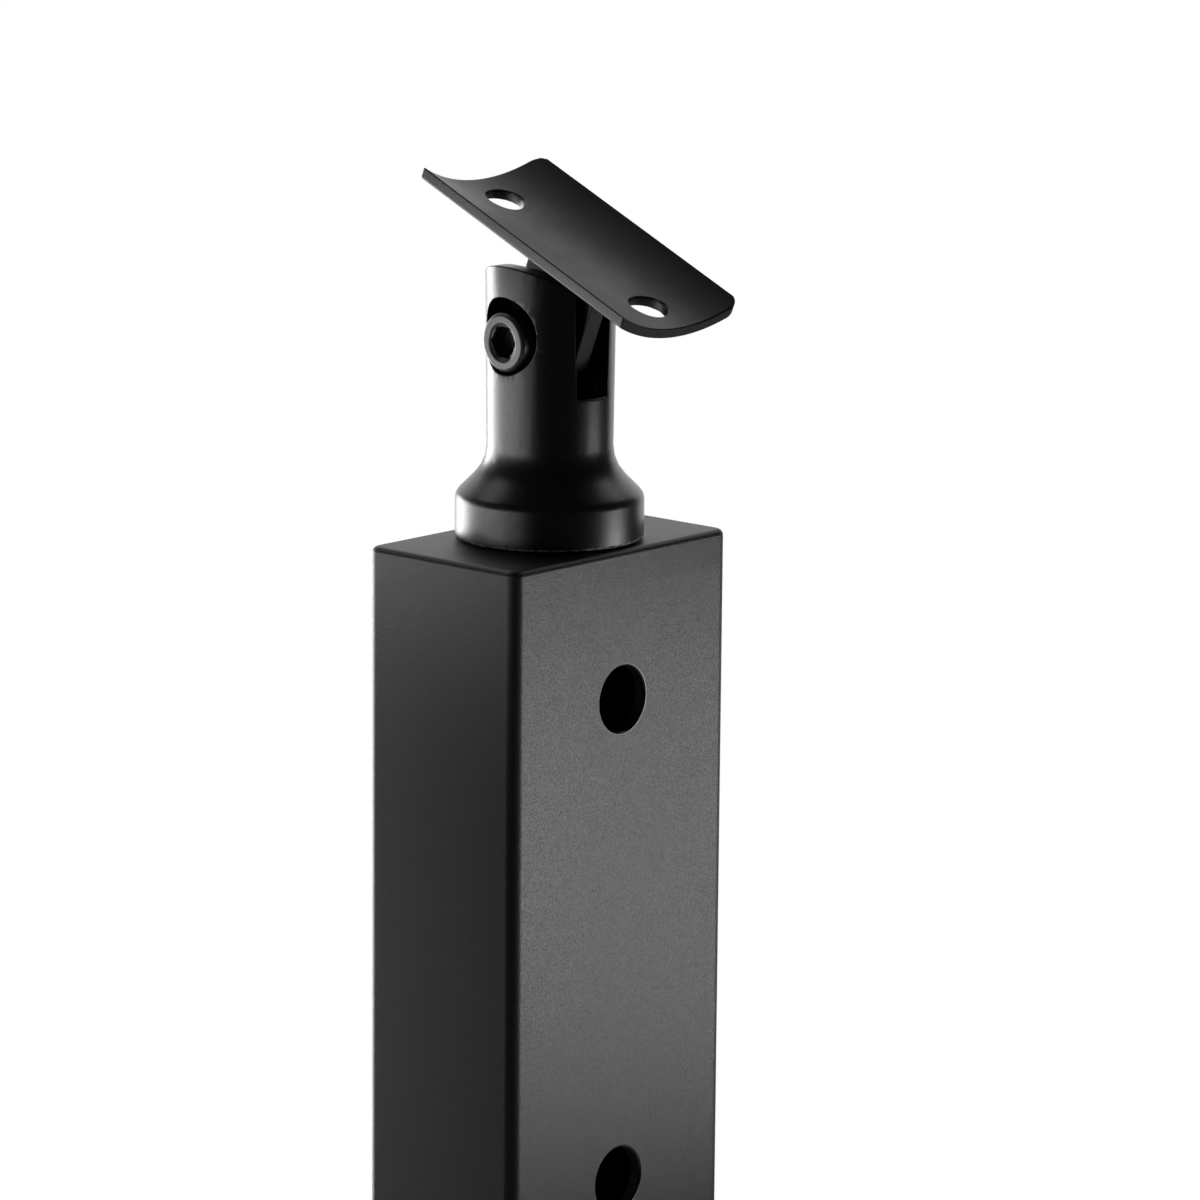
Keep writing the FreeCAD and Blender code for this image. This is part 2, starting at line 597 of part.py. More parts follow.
for geo, sign in ((3, 1), (2, -1)):
    ends = (-1, 1, geo, 1) if sign > 0 else (geo, 1, -1, 1)
    c = strip.addConstraint(Sketcher.Constraint("DistanceX", *ends, hw))
    bind(strip, c, "Sizes.saddle_wide / 2")
doc.recompute()
strip_pad = pad(saddle, strip, "saddle_strip", "Sizes.saddle_long", both=True)
far_corners = edge_names(strip_pad, lambda e: upright(e) and e.BoundBox.YMin > 0)
rounded(saddle, strip_pad, "saddle_corners", far_corners, "Sizes.saddle_corner")
holes = sketch_on(saddle, "saddle_hole_outline", XY)
hs, hr = saddle_long / 2 - saddle_hole_edge, saddle_hole_bore / 2
HS, HR = "(Sizes.saddle_long / 2 - Sizes.saddle_hole_edge)", "Sizes.saddle_hole_bore / 2"
circle(holes, hs, 0, hr, HS, None, HR)
circle(holes, -hs, 0, hr, "-" + HS, None, HR)
doc.recompute()
pocket(saddle, holes, "saddle_holes", "Sizes.saddle_hollow_radius * 2", reverse=True)

# Tongue: full round lower end about the pivot, top cut to the underside of the saddle, weld legs
tongue = new_body("saddle_tongue")
blade = sketch_on(tongue, "tongue_outline", XZ)
tw = tongue_half_wide
t_top = saddle_rise + saddle_thick / 2
blade.addGeometry(Part.ArcOfCircle(Part.Circle(V(0, 0, 0), V(0, 0, 1), tw), math.pi, 2 * math.pi), False)
blade.addGeometry(Part.LineSegment(V(tw, 0, 0), V(tw, t_top, 0)), False)
blade.addGeometry(Part.LineSegment(V(tw, t_top, 0), V(-tw, t_top, 0)), False)
blade.addGeometry(Part.LineSegment(V(-tw, t_top, 0), V(-tw, 0, 0)), False)
blade.addConstraint(Sketcher.Constraint("Tangent", 0, 2, 1, 1))
blade.addConstraint(Sketcher.Constraint("Coincident", 1, 2, 2, 1))
blade.addConstraint(Sketcher.Constraint("Coincident", 2, 2, 3, 1))
blade.addConstraint(Sketcher.Constraint("Tangent", 3, 2, 0, 1))
blade.addConstraint(Sketcher.Constraint("Vertical", 1))
blade.addConstraint(Sketcher.Constraint("Horizontal", 2))
blade.addConstraint(Sketcher.Constraint("Coincident", 0, 3, -1, 1))
c = blade.addConstraint(Sketcher.Constraint("Radius", 0, tw))
bind(blade, c, "Sizes.tongue_half_wide")
c = blade.addConstraint(Sketcher.Constraint("DistanceY", -1, 1, 1, 2, t_top))
bind(blade, c, SADDLE_RISE + " + Sizes.saddle_thick / 2")
doc.recompute()
pad(tongue, blade, "tongue_blade", "Sizes.tongue_thick", both=True)
legs = sketch_on(tongue, "tongue_weld_outline", YZ)
th, leg = tongue_thick / 2, tongue_weld_leg
TH = "Sizes.tongue_thick / 2"
weld_low, WELD_LOW = saddle_rise - leg, SADDLE_RISE + " - Sizes.tongue_weld_leg"
weld_top, WELD_TOP = saddle_rise + tongue_weld_rise, SADDLE_RISE + " + Sizes.tongue_weld_rise"
outline(legs, [
    (-th, weld_low, "-" + TH, WELD_LOW),
    (th, weld_low, TH, WELD_LOW),
    (th + leg, weld_top, TH + " + Sizes.tongue_weld_leg", WELD_TOP),
    (-th - leg, weld_top, "-(" + TH + " + Sizes.tongue_weld_leg)", WELD_TOP)])
doc.recompute()
pad(tongue, legs, "tongue_weld", "(Sizes.tongue_half_wide - Sizes.tongue_weld_inset) * 2", both=True)
seat = sketch_on(tongue, "tongue_seat_outline", YZ)
sw = th + leg + cut_spare
a_s = math.asin(sw / r_out)
seat.addGeometry(Part.ArcOfCircle(Part.Circle(V(0, zc, 0), V(0, 0, 1), r_out), down - a_s, down + a_s), False)
y_s = zc - r_out * math.cos(a_s)
y_t = y_s + 2 * saddle_thick
seat.addGeometry(Part.LineSegment(V(sw, y_s, 0), V(sw, y_t, 0)), False)
seat.addGeometry(Part.LineSegment(V(sw, y_t, 0), V(-sw, y_t, 0)), False)
seat.addGeometry(Part.LineSegment(V(-sw, y_t, 0), V(-sw, y_s, 0)), False)
for a, b in ((0, 1), (1, 2), (2, 3), (3, 0)):
    seat.addConstraint(Sketcher.Constraint("Coincident", a, 2, b, 1))
seat.addConstraint(Sketcher.Constraint("Vertical", 1))
seat.addConstraint(Sketcher.Constraint("Vertical", 3))
seat.addConstraint(Sketcher.Constraint("Symmetric", 2, 1, 2, 2, -2))
c = seat.addConstraint(Sketcher.Constraint("Radius", 0, r_out))
bind(seat, c, R_OUT)
pin_points(seat, [(0, 3, 0, zc, None, ZC)])
c = seat.addConstraint(Sketcher.Constraint("DistanceX", -1, 1, 1, 2, sw))
bind(seat, c, TH + " + Sizes.tongue_weld_leg + Sizes.cut_spare")
c = seat.addConstraint(Sketcher.Constraint("DistanceY", 1, 1, 1, 2, 2 * saddle_thick))
bind(seat, c, "Sizes.saddle_thick * 2")
doc.recompute()
pocket(tongue, seat, "tongue_seat", "Sizes.tongue_half_wide * 4", both=True)
eye = sketch_on(tongue, "tongue_eye_outline", XZ)
eye_r = "Sizes.pivot_shank_radius + Sizes.screw_running"
circle(eye, 0, 0, pivot_shank_radius + screw_running, None, None, eye_r)
doc.recompute()
pocket(tongue, eye, "tongue_eye", "Sizes.tongue_thick * 4", both=True)

# Pose: the neck and all it carries turn about the post's axis, the saddle tilts about the pivot
swivel = FreeCAD.Rotation(V(0, 0, 1), swivel_angle)
tilt = FreeCAD.Rotation(V(0, 1, 0), tilt_angle)
lying = FreeCAD.Rotation(V(1, 0, 0), 90)
doc.recompute()
neck_z = post_height + neck_gap
pivot_at = V(0, 0, neck_z + pivot_high)
neck.Placement = FreeCAD.Placement(V(0, 0, neck_z), swivel)
pivot.Placement = FreeCAD.Placement(pivot_at + swivel.multVec(V(0, -screw_seat, 0)),
                                    swivel.multiply(lying))
saddle.Placement = FreeCAD.Placement(pivot_at, swivel.multiply(tilt))
tongue.Placement = FreeCAD.Placement(pivot_at, swivel.multiply(tilt))
doc.recompute()

os.makedirs("parts", exist_ok=True)
for obj in doc.Objects:
    for word in ("Invalid", "Error"):
        if word in obj.State:
            raise RuntimeError(obj.Name + " is " + word)
for body in (tube, cap, foot, stem_screw, neck, pivot, saddle, tongue):
    shape = body.Shape
    if shape.isNull() or not shape.isValid() or len(shape.Solids) != 1:
        raise RuntimeError(body.Label + " is not one valid solid")
    shape.exportStep("parts/" + body.Label + ".step")
    print(body.Label, round(shape.Volume, 1), [round(v, 2) for v in (
        shape.BoundBox.XMin, shape.BoundBox.YMin, shape.BoundBox.ZMin,
        shape.BoundBox.XMax, shape.BoundBox.YMax, shape.BoundBox.ZMax)])
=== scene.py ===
import json
import math

import bmesh
import bpy
from mathutils import Matrix, Vector


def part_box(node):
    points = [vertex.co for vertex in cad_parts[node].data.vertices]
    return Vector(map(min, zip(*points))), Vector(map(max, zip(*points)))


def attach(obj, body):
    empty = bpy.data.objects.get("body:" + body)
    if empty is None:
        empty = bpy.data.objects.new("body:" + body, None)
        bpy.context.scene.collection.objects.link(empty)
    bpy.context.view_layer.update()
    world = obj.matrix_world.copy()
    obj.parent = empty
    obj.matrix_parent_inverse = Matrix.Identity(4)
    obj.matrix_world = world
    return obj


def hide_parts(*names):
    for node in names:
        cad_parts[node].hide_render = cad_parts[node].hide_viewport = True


bl_info = {
    "name": "Cable railing post",
    "version": (1, 0, 0),
    "blender": (4, 5, 0),
    "location": "View3D > Sidebar > Post",
    "description": "Dresses the packed cable railing post and sets its studio",
    "category": "Object",
}

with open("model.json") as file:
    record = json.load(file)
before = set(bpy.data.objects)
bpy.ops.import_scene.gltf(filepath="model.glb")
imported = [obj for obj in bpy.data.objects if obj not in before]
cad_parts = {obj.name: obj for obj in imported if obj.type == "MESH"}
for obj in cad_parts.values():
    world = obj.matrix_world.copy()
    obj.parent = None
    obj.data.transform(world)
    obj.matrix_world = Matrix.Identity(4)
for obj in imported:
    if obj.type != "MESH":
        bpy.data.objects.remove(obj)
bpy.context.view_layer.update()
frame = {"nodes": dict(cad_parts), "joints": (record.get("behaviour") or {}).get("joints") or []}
MM = 0.001

# The picture is 1200 by 1200 pixels, and the camera was fitted to the post's edges in it.
PICTURE = 1200.0
CAP_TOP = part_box("top_cap")[1][2]

# The tube's outer skin: faces deeper than this in the tube belong to its hollow and holes, which get the
# scale darkened as painted shade.
TUBE_SKIN = 0.9 * MM
# The neck's painted glint on the slope under its foot reaches this high over its foot, and its bare inside,
# darkened as painted shade, reaches this far out.
GLINT_RISE = 0.5 * MM
BARE_SHADED_RADIUS = 9.2 * MM
# Vertices closer than this are one, and faces closer to flat than this are one face.
WELD_GAP = 0.002 * MM
FLAT_DEG = 0.4
# Rings along a weld bead and points around it.
BEAD_RINGS = 96
BEAD_POINTS = 14
FLOOR_RADIUS = 2.2
# What the world gives the object, with 1 for white.
WORLD_GLOW = 0.03

# The soft boxes: name, turn from the camera in degrees, rise over the cap's top, distance,
# width and height, glow, and for those with a grid the height they aim at and its spread.
LAMPS = (
    ("left_strip", -102, -0.006, 0.15, (0.054, 0.042), 6.6, 0.049, 66.0),
    ("left_strip", -82, -0.006, 0.15, (0.054, 0.042), 6.6, 0.049, 66.0),
    ("left_strip", -62, -0.006, 0.15, (0.054, 0.042), 6.8, 0.049, 66.0),
    ("left_strip", -42, -0.006, 0.15, (0.054, 0.042), 3.2, 0.049, 66.0),
    ("left_edge", -131, -0.15, 0.9, (0.50, 0.5), 10.0),
    ("back_drop", -180, 0.6, 1.3, (2.5, 2.4), 1.2),
    ("right_strip", 88, -0.088, 0.2, (0.14, 0.11), 17.0, -0.045, 36.0),
    ("left_top", -114, 0.50, 0.46, (0.22, 0.22), 1.6, 0.0),
    ("right_top", 122, 0.50, 0.55, (0.22, 0.22), 1.6, 0.0),
    ("left_low", -83, -0.13, 0.2, (0.12, 0.12), 0.5),
)


def linear(code):
    """Turns an sRGB hex colour into the linear RGBA that a shader takes."""
    parts = [int(code[i:i + 2], 16) / 255.0 for i in (1, 3, 5)]
    return [c / 12.92 if c <= 0.04045 else ((c + 0.055) / 1.055) ** 2.4 for c in parts] + [1.0]


def colour(name, code, text):
    """Makes a colour property that starts from an sRGB hex value."""
    return bpy.props.FloatVectorProperty(name=name, description=text, default=linear(code), size=4,
                                         subtype="COLOR", min=0.0, max=1.0)


def length(name, value, text):
    """Makes a length property from millimetres."""
    return bpy.props.FloatProperty(name=name, description=text, default=value * MM, unit="LENGTH")


class PostSizes(bpy.types.PropertyGroup):
    """Sizes of the finish and of the weld."""
    plate_edge: length("Plate edge rounding", 0.35, "Rounding of the paint over the cap and foot plate")
    hole_edge: length("Hole edge rounding", 0.35, "Rounding of the paint over the cable holes' edges")
    neck_edge: length("Neck edge rounding", 0.22, "Rounding of the neck's cut edges")
    saddle_edge: length("Saddle edge rounding", 0.30, "Rounding of the saddle's edges")
    screw_edge: length("Screw edge rounding", 0.22, "Rounding of the screw's edges")
    weld_bead: length("Weld bead", 1.0, "Half width of the weld bead under the saddle")
    weld_ripple: length("Weld ripple", 1.3, "Spacing of the ripples in the weld bead")
    weld_long: length("Weld length", 15.0, "Length of the weld bead along the tongue")
    weld_off: length("Weld offset", 2.45, "Distance of the bead from the tongue's middle plane")
    weld_rise: length("Weld rise", 12.2, "Height of the bead over the pivot, square to the saddle")
    grain: length("Powder grain", 0.25, "Size of the grain in the powder coat")


class PostColours(bpy.types.PropertyGroup):
    """Colours of the coats and of the studio."""
    powder: colour("Powder coat", "#0e0e0f", "Fine textured black powder coat of the post")
    lacquer: colour("Neck lacquer", "#040404", "Smooth satin black of the neck")
    # Painted glint: this pale colour, in specks on the slope under the neck's foot, stands in for the light
    # that the foot's bottom edge catches.
    painted_glint: colour("Rubbed rim", "#8c8c8c", "Thin coat rubbed off the rim of the neck's foot")
    saddle: colour("Saddle coat", "#141415", "Matt black of the saddle")
    screw: colour("Screw black", "#48484a", "Black zinc of the screws")
    # Painted shade: the scale is darker than the coat, so the tube's hollow, the cable holes and the neck's
    # slot and bore render black. The bare steel itself is real.
    scale: colour("Mill scale", "#040405", "Bare rolled steel inside the tube")
    floor: colour("Floor", "#f4f4f4", "Pale floor and backdrop")


class StudioSizes(bpy.types.PropertyGroup):
    """Where the camera stands and what it sees."""
    azimuth: bpy.props.FloatProperty(name="Azimuth", description="Camera's turn about the post",
                                     default=math.radians(41.34), subtype="ANGLE")
    elevation: bpy.props.FloatProperty(name="Elevation", description="Camera's height angle",
                                       default=math.radians(11.74), subtype="ANGLE")
    roll: bpy.props.FloatProperty(name="Roll", description="Camera's roll",
                                  default=math.radians(0.5), subtype="ANGLE")
    distance: length("Distance", 923.8, "Distance along the view from the camera to the cap")
    focal_px: bpy.props.FloatProperty(name="Focal length", description="Focal length in picture pixels",
                                      default=5795.5)
    cap_x_px: bpy.props.FloatProperty(name="Cap across", description="Cap's middle in the picture, pixels",
                                      default=549.3)
    cap_y_px: bpy.props.FloatProperty(name="Cap down", description="Cap's middle in the picture, pixels",
                                      default=537.0)
    saddle_lean: bpy.props.FloatProperty(name="Saddle lean", description="Saddle's tilt in the photograph",
                                         default=math.radians(22.0), subtype="ANGLE")
    floor_lift: bpy.props.FloatProperty(name="Floor lift", default=0.45,
                                        description="White added where the camera sees the floor")


def add_node(tree, kind, settings=None, links=None):
    """Adds one shader node, sets its values and links its inputs."""
    made = tree.nodes.new(kind)
    for key, value in (settings or {}).items():
        if isinstance(key, str) and hasattr(made, key):
            setattr(made, key, value)
        else:
            made.inputs[key].default_value = value
    for key, source in (links or {}).items():
        tree.links.new(source, made.inputs[key])
    return made


def new_material(name):
    """Starts an empty node material and gives its tree."""
    made = bpy.data.materials.new(name)
    made.use_nodes = True
    made.node_tree.nodes.clear()
    return made, made.node_tree


def close_material(tree, shader):
    """Joins the surface to the output."""
    add_node(tree, "ShaderNodeOutputMaterial", links={"Surface": shader.outputs[0]})


def powder_coat():
    """Polyester powder coat, sprayed dry and baked: fine grain, satin sheen, edges slightly thin."""
    sizes, colours = bpy.context.scene.post_sizes, bpy.context.scene.post_colours
    made, tree = new_material("baked_powder_coat_black")
    place = add_node(tree, "ShaderNodeTexCoord")
    grain = add_node(tree, "ShaderNodeTexNoise",
                     {"Scale": 1.0 / sizes.grain, "Detail": 2.0, "Roughness": 0.6},
                     {"Vector": place.outputs["Object"]})
    tone = add_node(tree, "ShaderNodeMapRange",
                    {"From Min": 0.35, "From Max": 0.65, "To Min": 0.82, "To Max": 1.18},
                    {"Value": grain.outputs["Fac"]})
    tint = add_node(tree, "ShaderNodeVectorMath", {"operation": "SCALE", 0: colours.powder[:3]},
                    {"Scale": tone.outputs["Result"]})
    gloss = add_node(tree, "ShaderNodeMapRange",
                     {"From Min": 0.3, "From Max": 0.7, "To Min": 0.41, "To Max": 0.53},
                     {"Value": grain.outputs["Fac"]})
    bump = add_node(tree, "ShaderNodeBump", {"Strength": 0.45, "Distance": 0.06 * MM},
                    {"Height": grain.outputs["Fac"]})
    shader = add_node(tree, "ShaderNodeBsdfPrincipled", {"IOR": 1.5},
                      {"Base Color": tint.outputs["Vector"], "Roughness": gloss.outputs["Result"],
                       "Normal": bump.outputs["Normal"]})
    close_material(tree, shader)
    return made


def satin_lacquer():
    """Black baked lacquer over turned steel: smooth, deep black, satin with faint turning marks."""
    colours = bpy.context.scene.post_colours
    made, tree = new_material("baked_lacquer_satin_black")
    place = add_node(tree, "ShaderNodeTexCoord")
    stretch = add_node(tree, "ShaderNodeMapping", {"Scale": (40.0, 40.0, 1.0 / (0.45 * MM))},
                       {"Vector": place.outputs["Object"]})
    marks = add_node(tree, "ShaderNodeTexNoise", {"Scale": 1.0, "Detail": 2.0, "Roughness": 0.5},
                     {"Vector": stretch.outputs["Vector"]})
    peel = add_node(tree, "ShaderNodeTexNoise", {"Scale": 1.0 / (1.1 * MM), "Detail": 2.0, "Roughness": 0.45},
                    {"Vector": place.outputs["Object"]})
    gloss = add_node(tree, "ShaderNodeMapRange",
                     {"From Min": 0.3, "From Max": 0.7, "To Min": 0.31, "To Max": 0.35},
                     {"Value": peel.outputs["Fac"]})
    fine = add_node(tree, "ShaderNodeBump", {"Strength": 0.010, "Distance": 0.02 * MM},
                    {"Height": marks.outputs["Fac"]})
    bump = add_node(tree, "ShaderNodeBump", {"Strength": 0.006, "Distance": 0.05 * MM},
                    {"Height": peel.outputs["Fac"], "Normal": fine.outputs["Normal"]})
    shader = add_node(tree, "ShaderNodeBsdfPrincipled", {"IOR": 1.5, "Base Color": list(colours.lacquer)},
                      {"Roughness": gloss.outputs["Result"], "Normal": bump.outputs["Normal"]})
    close_material(tree, shader)
    return made


def painted_glint_rim():
    """Painted glint on a turned rim: broken specks of pale grey in the black that stand in for the light the
    rim catches.
    """
    colours = bpy.context.scene.post_colours
    made, tree = new_material("painted_glint_on_turned_rim")
    place = add_node(tree, "ShaderNodeTexCoord")
    speck = add_node(tree, "ShaderNodeTexNoise", {"Scale": 1.0 / (0.9 * MM), "Detail": 3.0, "Roughness": 0.7},
                     {"Vector": place.outputs["Object"]})
    # Painted glint: the specks where the pale colour shows stand in for light caught by the rim.
    wear_and_glint = add_node(tree, "ShaderNodeMapRange",
                    {"From Min": 0.40, "From Max": 0.56, "To Min": 0.15, "To Max": 1.0},
                    {"Value": speck.outputs["Fac"]})
    tint = add_node(tree, "ShaderNodeVectorMath", {"operation": "SCALE", 0: colours.painted_glint[:3]},
                    {"Scale": wear_and_glint.outputs["Result"]})
    shader = add_node(tree, "ShaderNodeBsdfPrincipled", {"IOR": 1.5, "Roughness": 0.5},
                      {"Base Color": tint.outputs["Vector"]})
    close_material(tree, shader)
    return made


def saddle_coat():
    """Matt black coat on pressed steel plate: even, soft, with a few dusty rubbed places."""
    colours = bpy.context.scene.post_colours
    made, tree = new_material("matt_black_coat_on_pressed_plate")
    place = add_node(tree, "ShaderNodeTexCoord")
    dust = add_node(tree, "ShaderNodeTexNoise", {"Scale": 1.0 / (9 * MM), "Detail": 5.0, "Roughness": 0.62},
                    {"Vector": place.outputs["Object"]})
    grain = add_node(tree, "ShaderNodeTexNoise", {"Scale": 1.0 / (0.4 * MM), "Detail": 2.0, "Roughness": 0.5},
                     {"Vector": place.outputs["Object"]})
    wear_and_glint = add_node(tree, "ShaderNodeMapRange",
                    {"From Min": 0.42, "From Max": 0.72, "To Min": 0.95, "To Max": 1.25},
                    {"Value": dust.outputs["Fac"]})
    tint = add_node(tree, "ShaderNodeVectorMath", {"operation": "SCALE", 0: colours.saddle[:3]},
                    {"Scale": wear_and_glint.outputs["Result"]})
    gloss = add_node(tree, "ShaderNodeMapRange",
                     {"From Min": 0.3, "From Max": 0.7, "To Min": 0.40, "To Max": 0.50},
                     {"Value": dust.outputs["Fac"]})
    bump = add_node(tree, "ShaderNodeBump", {"Strength": 0.12, "Distance": 0.03 * MM},
                    {"Height": grain.outputs["Fac"]})
    shader = add_node(tree, "ShaderNodeBsdfPrincipled", {"IOR": 1.5},
                      {"Base Color": tint.outputs["Vector"], "Roughness": gloss.outputs["Result"],
                       "Normal": bump.outputs["Normal"]})
    close_material(tree, shader)
    return made


def screw_black():
    """Black zinc plating on a machined screw: thin dark metal skin with a soft metallic glint."""
    colours = bpy.context.scene.post_colours
    made, tree = new_material("black_zinc_on_machined_steel")
    place = add_node(tree, "ShaderNodeTexCoord")
    mark = add_node(tree, "ShaderNodeTexNoise", {"Scale": 1.0 / (0.6 * MM), "Detail": 3.0, "Roughness": 0.6},
                    {"Vector": place.outputs["Object"]})
    gloss = add_node(tree, "ShaderNodeMapRange",
                     {"From Min": 0.3, "From Max": 0.7, "To Min": 0.30, "To Max": 0.42},
                     {"Value": mark.outputs["Fac"]})
    bump = add_node(tree, "ShaderNodeBump", {"Strength": 0.08, "Distance": 0.03 * MM},
                    {"Height": mark.outputs["Fac"]})
    shader = add_node(tree, "ShaderNodeBsdfPrincipled",
                      {"Metallic": 0.8, "Base Color": list(colours.screw)},
                      {"Roughness": gloss.outputs["Result"], "Normal": bump.outputs["Normal"]})
    close_material(tree, shader)
    return made


def mill_scale_and_shade():
    """Bare rolled steel inside the tube: blue black scale, its colour darkened as painted shade over the
    insides.
    """
    colours = bpy.context.scene.post_colours
    made, tree = new_material("mill_scale_and_painted_shade")
    place = add_node(tree, "ShaderNodeTexCoord")
    patch = add_node(tree, "ShaderNodeTexNoise", {"Scale": 1.0 / (6 * MM), "Detail": 3.0, "Roughness": 0.6},
                     {"Vector": place.outputs["Object"]})
    gloss = add_node(tree, "ShaderNodeMapRange",
                     {"From Min": 0.3, "From Max": 0.7, "To Min": 0.7, "To Max": 0.85},
                     {"Value": patch.outputs["Fac"]})
    shader = add_node(tree, "ShaderNodeBsdfPrincipled",
                      {"IOR": 1.5, "Specular IOR Level": 0.1, "Base Color": list(colours.scale)},
                      {"Roughness": gloss.outputs["Result"]})
    close_material(tree, shader)
    return made


def drilled_edge():
    """Powder drawn thin and smooth over a drilled edge: a fine line that glints at a slant."""
    colours = bpy.context.scene.post_colours
    made, tree = new_material("thin_coat_on_drilled_edge")
    place = add_node(tree, "ShaderNodeTexCoord")
    patch = add_node(tree, "ShaderNodeTexNoise", {"Scale": 1.0 / (1.5 * MM), "Detail": 2.0, "Roughness": 0.6},
                     {"Vector": place.outputs["Object"]})
    gloss = add_node(tree, "ShaderNodeMapRange",
                     {"From Min": 0.3, "From Max": 0.7, "To Min": 0.10, "To Max": 0.18},
                     {"Value": patch.outputs["Fac"]})
    shader = add_node(tree, "ShaderNodeBsdfPrincipled", {"IOR": 1.5, "Base Color": list(colours.powder)},
                      {"Roughness": gloss.outputs["Result"]})
    close_material(tree, shader)
    return made


def pale_floor():
    """Studio paper: pale and matt, lifted to white for the camera and more so far out."""
    colours, studio = bpy.context.scene.post_colours, bpy.context.scene.studio_sizes
    made, tree = new_material("pale_studio_paper")
    place = add_node(tree, "ShaderNodeTexCoord")
    away = add_node(tree, "ShaderNodeVectorMath", {"operation": "LENGTH"}, {0: place.outputs["Object"]})
    rise = add_node(tree, "ShaderNodeMapRange",
                    {"From Min": 0.12, "From Max": 0.9, "To Min": studio.floor_lift, "To Max": 1.1},
                    {"Value": away.outputs["Value"]})
    seen = add_node(tree, "ShaderNodeLightPath")
    lift = add_node(tree, "ShaderNodeMath", {"operation": "MULTIPLY"},
                    {0: seen.outputs["Is Camera Ray"], 1: rise.outputs["Result"]})
    paper = add_node(tree, "ShaderNodeBsdfDiffuse", {"Color": list(colours.floor)})
    glow = add_node(tree, "ShaderNodeEmission", links={"Strength": lift.outputs[0]})
    both = add_node(tree, "ShaderNodeAddShader", links={0: paper.outputs[0], 1: glow.outputs[0]})
    close_material(tree, both)
    return made


def finish_mesh(piece, material, body, node=None):
    """Gives a piece its material and body, and hides the node it stands for."""
    piece.data.materials.clear()
    piece.data.materials.append(material)
    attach(piece, body)
    if node:
        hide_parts(node)
    return piece


def refined_copy(node, name, edge, plain_levels=(), turned=True, sharp_deg=28.0):
    """Copies a CAD node, welds its loose triangles and rounds its sharp edges a little.

    Edges that lie level at one of the plain levels stay sharp, because another piece sits there.
    A turned or bent piece is shaded evenly over its facets, and a flat one keeps its flats.
    """
    source = frame["nodes"][node]
    mesh = source.data.copy()
    mesh.name = name
    piece = bpy.data.objects.new(name, mesh)
    bpy.context.scene.collection.objects.link(piece)
    bm = bmesh.new()
    bm.from_mesh(mesh)
    bmesh.ops.remove_doubles(bm, verts=bm.verts, dist=WELD_GAP)
    flat = math.radians(FLAT_DEG)
    bmesh.ops.dissolve_limit(bm, angle_limit=flat, verts=bm.verts, edges=bm.edges)
    weight = bm.edges.layers.float.new("bevel_weight_edge")
    for face in bm.faces:
        face.smooth = True
    for line in bm.edges:
        heights = [v.co.z for v in line.verts]
        plain = any(max(abs(z - level) for z in heights) < 0.02 * MM for level in plain_levels)
        if line.calc_face_angle(0.0) > math.radians(sharp_deg) and not plain:
            line[weight] = 1.0
    bm.to_mesh(mesh)
    bm.free()
    mesh.set_sharp_from_angle(angle=math.radians(sharp_deg))
    if edge > 0:
        bevel = piece.modifiers.new("paint_edge", "BEVEL")
        bevel.width = edge
        bevel.segments = 3
        bevel.limit_method = "WEIGHT"
        bevel.use_clamp_overlap = False
        bevel.harden_normals = not turned
    if edge > 0 and turned:
        even = piece.modifiers.new("even_shading", "WEIGHTED_NORMAL")
        even.mode = "FACE_AREA"
    return piece


class POST_OT_tube(bpy.types.Operator):
    """Dress the tube, the cap and the foot plate in powder coat"""
    bl_idname = "post.tube"
    bl_label = "Tube, cap and foot plate"

    def execute(self, context):
        sizes = context.scene.post_sizes
        coat = powder_coat()
        levels = (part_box("top_cap")[0][2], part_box("post_tube")[0][2])
        for node, edge in (("post_tube", sizes.hole_edge), ("top_cap", sizes.plate_edge),
                           ("base_plate", sizes.plate_edge)):
            piece = refined_copy(node, node + "_coated", edge, levels, turned=False)
            finish_mesh(piece, coat, "post", node)
            if node == "post_tube":
                self.dress_hollow(piece)
        return {"FINISHED"}

    def dress_hollow(self, tube):
        """Gives the hollow and the cable holes bare scale darkened as painted shade, and the holes' outer
        rims a thin coat.
        """
        tube.data.materials.append(mill_scale_and_shade())
        tube.data.materials.append(drilled_edge())
        tube.modifiers["paint_edge"].material = 2
        low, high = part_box("post_tube")
        for face in tube.data.polygons:
            middle = face.center
            # Painted shade: faces of the hollow and of the holes' walls get the darkened scale.
            if all(low[i] + TUBE_SKIN < middle[i] < high[i] - TUBE_SKIN for i in range(3)):
                face.material_index = 1
        points = tube.data.vertices
        weights = tube.data.attributes["bevel_weight_edge"].data
        for line in tube.data.edges:
            if all(abs(points[v].co.x) < high[0] - TUBE_SKIN for v in line.vertices):
                weights[line.index].value = 0.0


class POST_OT_neck(bpy.types.Operator):
    """Dress the swivelling neck in satin lacquer"""
    bl_idname = "post.neck"
    bl_label = "Neck"

    def execute(self, context):
        sizes = context.scene.post_sizes
        piece = refined_copy("neck", "neck_lacquered", sizes.neck_edge)
        finish_mesh(piece, satin_lacquer(), "neck", "neck")
        self.paint_glint_and_shade(piece)
        return {"FINISHED"}

    def paint_glint_and_shade(self, neck):
        """Gives the slope under the foot its painted glint, and the slot and the bore bare scale darkened as
        painted shade.
        """
        neck.data.materials.append(painted_glint_rim())
        neck.data.materials.append(bpy.data.materials["mill_scale_and_painted_shade"])
        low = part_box("neck")[0][2]
        for face in neck.data.polygons:
            slope = -0.95 < face.normal.z < -0.3
            # Painted glint: the downward slope at the foot's bottom edge gets the pale specks.
            if slope and face.center.z < low + GLINT_RISE:
                face.material_index = 1
            # Painted shade: the walls of the slot, the bore and the pocket get the darkened scale.
            elif face.center.xy.length < BARE_SHADED_RADIUS and abs(face.normal.z) < 0.5:
                face.material_index = 2


